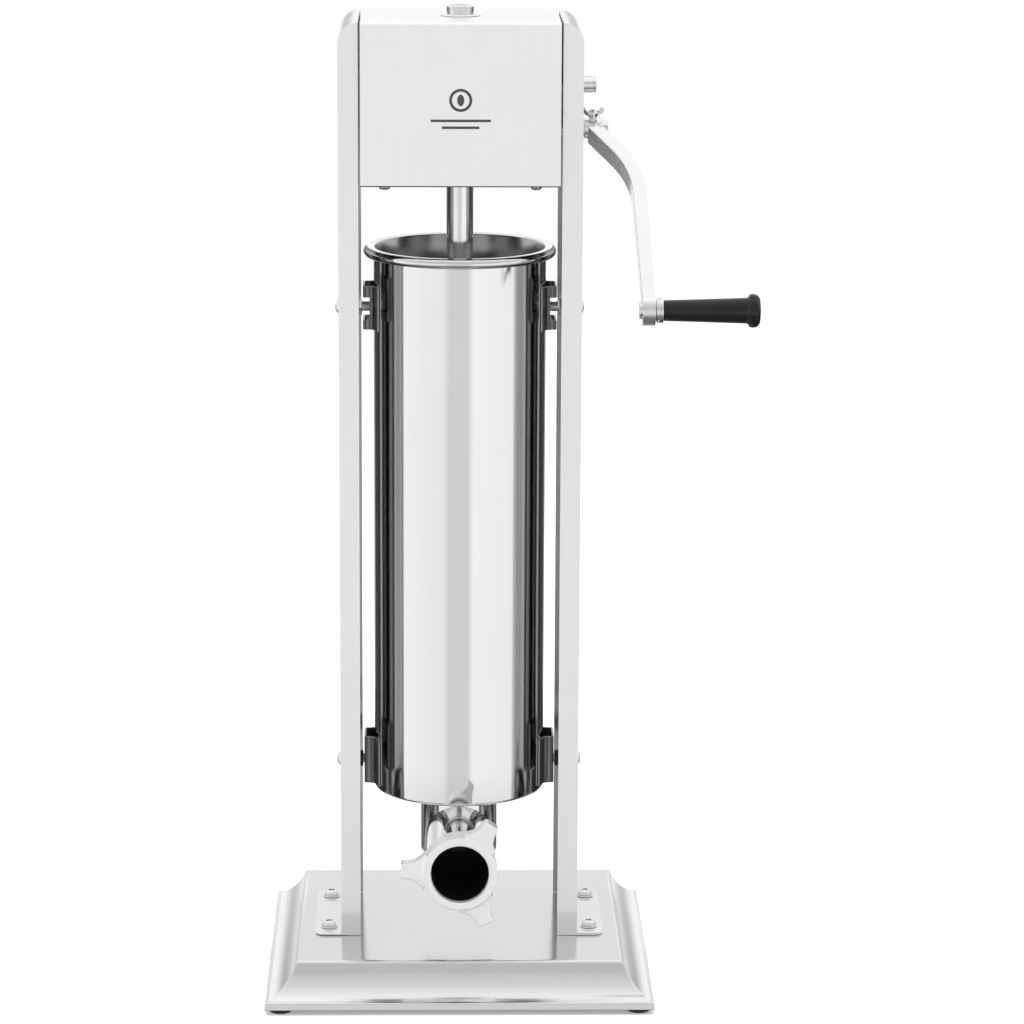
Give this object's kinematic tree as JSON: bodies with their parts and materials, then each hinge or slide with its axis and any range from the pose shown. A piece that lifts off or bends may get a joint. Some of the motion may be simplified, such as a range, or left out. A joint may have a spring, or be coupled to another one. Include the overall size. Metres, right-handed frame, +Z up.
{
  "type": "sausage stuffer",
  "caption": "Upright hand-cranked sausage stuffer: steel base, two uprights, geared head with toothed rod and piston, lift-out barrel with front outlet and ring nut.",
  "frame": {"origin": "under the middle of the whole object, at the underside of the feet; the barrel's axis stands at x = -39 mm, y = 0", "axes": "+Z up, -Y to the front where the outlet points, +X to the crank side"},
  "size_m": [0.396, 0.302, 0.8076],
  "materials": {
    "brushed_stainless": "brushed",
    "satin_stainless": "satin",
    "polished_stainless": "polished",
    "satin_steel_grey": "satin",
    "gear_steel": "dark satin",
    "sintered_bronze": "matte",
    "black_grip": "satin black",
    "black_rubber": "matte",
    "white_silicone": "matte"
  },
  "bodies": {
    "frame": {"base_pan": "brushed_stainless", "bearing_plate_left": "satin_stainless", "bearing_plate_right": "satin_stainless", "cover_screw_front_left": "polished_stainless", "cover_screw_front_right": "polished_stainless", "cover_screw_rear_left": "polished_stainless", "cover_screw_rear_right": "polished_stainless", "fast_shaft_bush_left": "sintered_bronze", "fast_shaft_bush_right": "sintered_bronze", "foot_front_left": "black_rubber", "foot_front_right": "black_rubber", "foot_rear_left": "black_rubber", "foot_rear_right": "black_rubber", "head_cover": "brushed_stainless", "head_floor": "brushed_stainless", "lower_spacer_left": "gear_steel", "lower_spacer_right": "gear_steel", "lower_stud_left": "polished_stainless", "lower_stud_right": "polished_stainless", "rod_guide_lower": "sintered_bronze", "rod_guide_upper": "sintered_bronze", "slow_shaft_bush_left": "sintered_bronze", "slow_shaft_bush_right": "sintered_bronze", "tab_bolt_front_left": "polished_stainless", "tab_bolt_front_right": "polished_stainless", "tab_bolt_rear_left": "polished_stainless", "tab_bolt_rear_right": "polished_stainless", "tab_nut_front_left": "polished_stainless", "tab_nut_front_right": "polished_stainless", "tab_nut_rear_left": "polished_stainless", "tab_nut_rear_right": "polished_stainless", "upper_stud_left": "polished_stainless", "upper_stud_nut_left": "polished_stainless", "upper_stud_nut_right": "polished_stainless", "upper_stud_right": "polished_stainless", "upright_left": "satin_stainless", "upright_right": "satin_stainless"},
    "rod": {"toothed_rod": "polished_stainless", "piston_plate": "polished_stainless", "piston_seal": "white_silicone", "piston_nut": "polished_stainless"},
    "air_valve": {"air_valve": "polished_stainless"},
    "fast_shaft": {"fast_shaft": "polished_stainless", "rack_pinion": "gear_steel", "large_gear": "gear_steel"},
    "crank": {"slow_shaft": "polished_stainless", "small_pinion": "gear_steel", "crank_arm": "satin_stainless", "grip_bolt": "polished_stainless"},
    "wing_screw": {"wing_screw": "polished_stainless"},
    "grip": {"grip": "black_grip", "grip_ferrule": "polished_stainless"},
    "barrel": {"barrel": "polished_stainless", "upper_bracket_left": "satin_steel_grey", "upper_bracket_right": "satin_steel_grey", "lower_bracket_left": "satin_steel_grey", "lower_bracket_right": "satin_steel_grey", "outlet_elbow": "satin_steel_grey"},
    "ring_nut": {"ring_nut": "satin_stainless"}
  },
  "joints": [
    {"name": "rod_slide", "type": "slide", "parent": "frame", "child": "rod", "axis": [0, 0, 1], "range_m": [0, 0.45]},
    {"name": "air_valve_press", "type": "slide", "parent": "rod", "child": "air_valve", "axis": [0, 0, -1], "range_m": [0, 0.006], "stiffness_N_per_m": 400, "springref_m": -0.002},
    {"name": "fast_shaft_turn", "type": "hinge", "parent": "frame", "child": "fast_shaft", "pos_m": [-0.039, 0.0198, 0.742], "axis": [1, 0, 0], "range_deg": [-2149, 0.5]},
    {"name": "crank_turn", "type": "hinge", "parent": "frame", "child": "crank", "pos_m": [-0.039, 0.0198, 0.706], "axis": [1, 0, 0], "range_deg": [-1, 6447]},
    {"name": "wing_screw_turn", "type": "hinge", "parent": "crank", "child": "wing_screw", "pos_m": [0.0696, 0.0198, 0.706], "axis": [0, -0.5, 0.866], "continuous": true},
    {"name": "grip_spin", "type": "hinge", "parent": "crank", "child": "grip", "pos_m": [0.1095, -0.13111, 0.57937], "axis": [1, 0, 0], "continuous": true},
    {"name": "barrel_lift", "type": "slide", "parent": "frame", "child": "barrel", "axis": [0, 0, 1], "range_m": [0, 0.0045]},
    {"name": "ring_nut_turn", "type": "hinge", "parent": "barrel", "child": "ring_nut", "pos_m": [-0.039, -0.125, 0.115], "axis": [0, -1, 0], "continuous": true}
  ],
  "couplings": [
    {"joint": "fast_shaft_turn", "follows": "rod_slide", "rad_per_m": -83.333},
    {"joint": "crank_turn", "follows": "rod_slide", "rad_per_m": 250}
  ]
}
